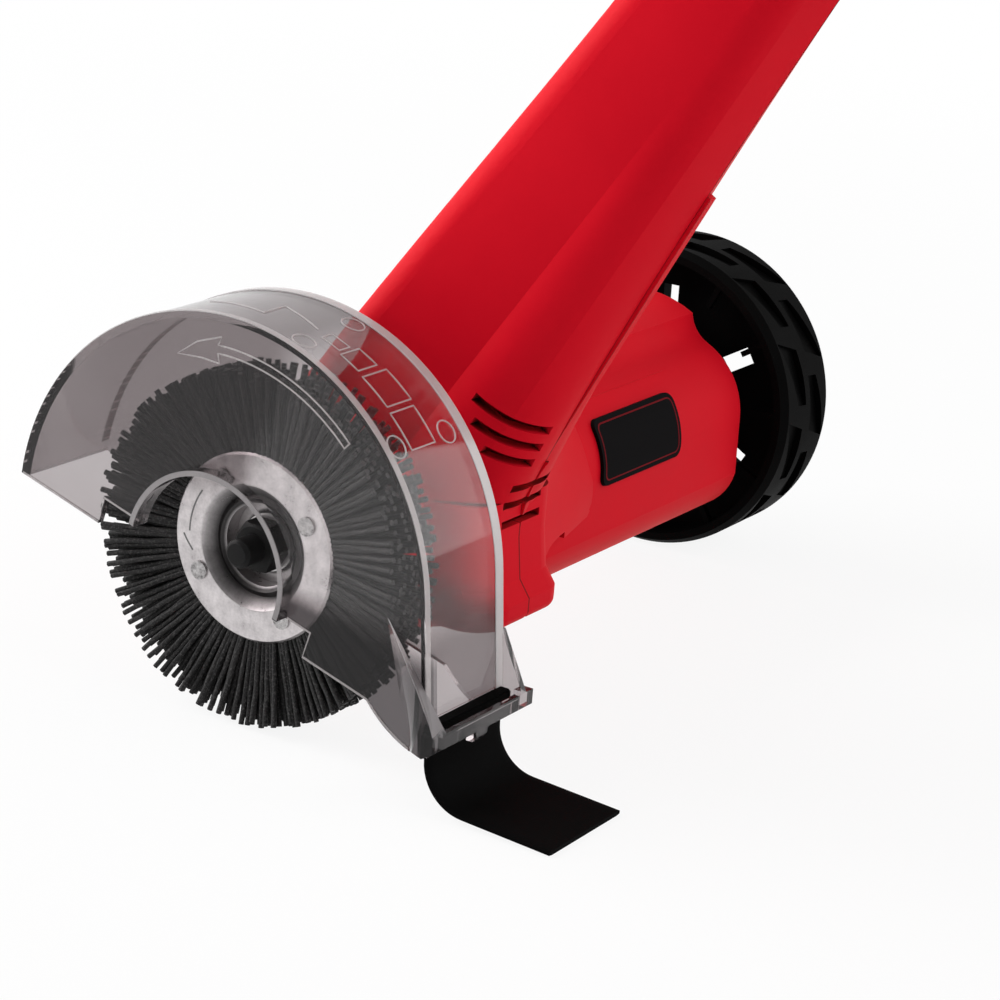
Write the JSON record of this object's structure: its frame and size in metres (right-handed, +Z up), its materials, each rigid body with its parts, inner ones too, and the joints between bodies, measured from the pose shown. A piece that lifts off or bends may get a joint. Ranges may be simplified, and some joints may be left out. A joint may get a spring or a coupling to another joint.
{
  "type": "electric patio cleaner",
  "caption": "Electric patio joint cleaner: a guarded rotary brush and a guide wheel on a motor head, with a leaning telescopic stem, trigger handle and loop handle.",
  "frame": {"origin": "on the spindle axis, in the outer plane of the brush hub, where the stud leaves its nut", "axes": "+X along the spindle out of the brush, +Y back towards the user, +Z up"},
  "size_m": [0.271, 0.6287, 0.9148],
  "materials": {
    "red_shell": "satin moulded red ABS",
    "clear_guard": "smoky clear polycarbonate",
    "black_plastic": "fine-grained black nylon",
    "black_rubber": "matt black rubber",
    "bristle": "abrasive grey nylon strands",
    "zinc_steel": "bright zinc plate",
    "blackened_steel": "black oxide",
    "bright_steel": "ground steel",
    "ferrite": "sintered ferrite",
    "copper": "turned copper",
    "carbon": "pressed carbon",
    "nylon": "natural nylon",
    "anodised_tube": "satin anodised"
  },
  "bodies": {
    "head": {"shell_brush_side": "red_shell", "shell_wheel_side": "red_shell", "shell_screws": "zinc_steel", "guard": "clear_guard", "guard_screws": "zinc_steel", "splash_flap": "black_rubber", "badge_plate": "black_plastic", "spindle_bearing": "bright_steel", "spindle_seal": "black_rubber", "ring_gear": "bright_steel", "gear_plate": "zinc_steel", "motor_can": "zinc_steel", "motor_screws": "zinc_steel", "field_magnets": "ferrite", "motor_front_bearing": "bright_steel", "motor_rear_bearing": "bright_steel", "motor_end_cap": "black_plastic", "carbon_brushes": "carbon", "axle": "bright_steel", "wheel_cap": "black_plastic", "guide_bush": "nylon"},
    "brush": {"spindle": "blackened_steel", "spindle_washer": "zinc_steel", "spindle_nut": "blackened_steel", "brush_plate_outer": "zinc_steel", "brush_plate_inner": "zinc_steel", "hub_rivets": "zinc_steel", "brush_bristles": "bristle", "planet_carrier": "bright_steel", "planet_pins": "bright_steel"},
    "planet_a": {"planet_gear_a": "bright_steel"},
    "planet_b": {"planet_gear_b": "bright_steel"},
    "planet_c": {"planet_gear_c": "bright_steel"},
    "rotor": {"armature": "bright_steel", "commutator": "copper", "motor_fan": "black_plastic", "sun_pinion": "bright_steel"},
    "wheel": {"wheel": "black_plastic"},
    "collar": {"lock_collar": "black_plastic"},
    "stem": {"stem": "anodised_tube", "handle_shell_brush_side": "red_shell", "handle_shell_wheel_side": "red_shell", "handle_screws": "zinc_steel", "trigger_pin": "bright_steel", "power_switch": "black_plastic", "cable_gland": "black_plastic", "grip_sleeve": "black_rubber", "aux_clamp": "black_plastic"},
    "aux_handle": {"aux_loop": "black_plastic", "aux_bolt": "zinc_steel"},
    "aux_knob": {"aux_knob": "black_plastic"},
    "trigger": {"trigger": "black_plastic"},
    "lock_button": {"lock_button": "black_plastic"}
  },
  "joints": [
    {"name": "rotor_spin", "type": "hinge", "parent": "head", "child": "rotor", "pos_m": [0, 0, 0], "axis": [1, 0, 0], "continuous": true},
    {"name": "brush_spin", "type": "hinge", "parent": "head", "child": "brush", "pos_m": [0, 0, 0], "axis": [1, 0, 0], "continuous": true},
    {"name": "planet_a_spin", "type": "hinge", "parent": "brush", "child": "planet_a", "pos_m": [-0.0388, 0, 0.015], "axis": [1, 0, 0], "continuous": true},
    {"name": "planet_b_spin", "type": "hinge", "parent": "brush", "child": "planet_b", "pos_m": [-0.0388, -0.01299, -0.0075], "axis": [1, 0, 0], "continuous": true},
    {"name": "planet_c_spin", "type": "hinge", "parent": "brush", "child": "planet_c", "pos_m": [-0.0388, 0.01299, -0.0075], "axis": [1, 0, 0], "continuous": true},
    {"name": "wheel_spin", "type": "hinge", "parent": "head", "child": "wheel", "pos_m": [-0.227, 0, 0], "axis": [1, 0, 0], "continuous": true},
    {"name": "telescope", "type": "slide", "parent": "head", "child": "stem", "axis": [0, 0.5105, 0.8599], "range_m": [-0.08, 0.07]},
    {"name": "collar_turn", "type": "hinge", "parent": "head", "child": "collar", "pos_m": [-0.05, 0.16896, 0.27183], "axis": [0, 0.5105, 0.8599], "range_deg": [0, 120]},
    {"name": "aux_tilt", "type": "hinge", "parent": "stem", "child": "aux_handle", "pos_m": [-0.05, 0.34386, 0.61341], "axis": [1, 0, 0], "range_deg": [-30, 35]},
    {"name": "aux_knob_turn", "type": "hinge", "parent": "aux_handle", "child": "aux_knob", "pos_m": [-0.02, 0.34386, 0.61341], "axis": [1, 0, 0], "continuous": true},
    {"name": "trigger_pull", "type": "hinge", "parent": "stem", "child": "trigger", "pos_m": [-0.05, 0.48822, 0.76767], "axis": [-1, 0, 0], "range_deg": [0, 9], "stiffness_Nm_per_rad": 1, "springref_deg": -8.59},
    {"name": "lock_press", "type": "slide", "parent": "stem", "child": "lock_button", "axis": [0, 0.7581, -0.6521], "range_m": [0, 0.003], "stiffness_N_per_m": 300, "springref_m": -0.003}
  ],
  "couplings": [
    {"joint": "brush_spin", "follows": "rotor_spin", "ratio": 0.2},
    {"joint": "planet_a_spin", "follows": "rotor_spin", "ratio": -0.53333},
    {"joint": "planet_b_spin", "follows": "rotor_spin", "ratio": -0.53333},
    {"joint": "planet_c_spin", "follows": "rotor_spin", "ratio": -0.53333}
  ]
}
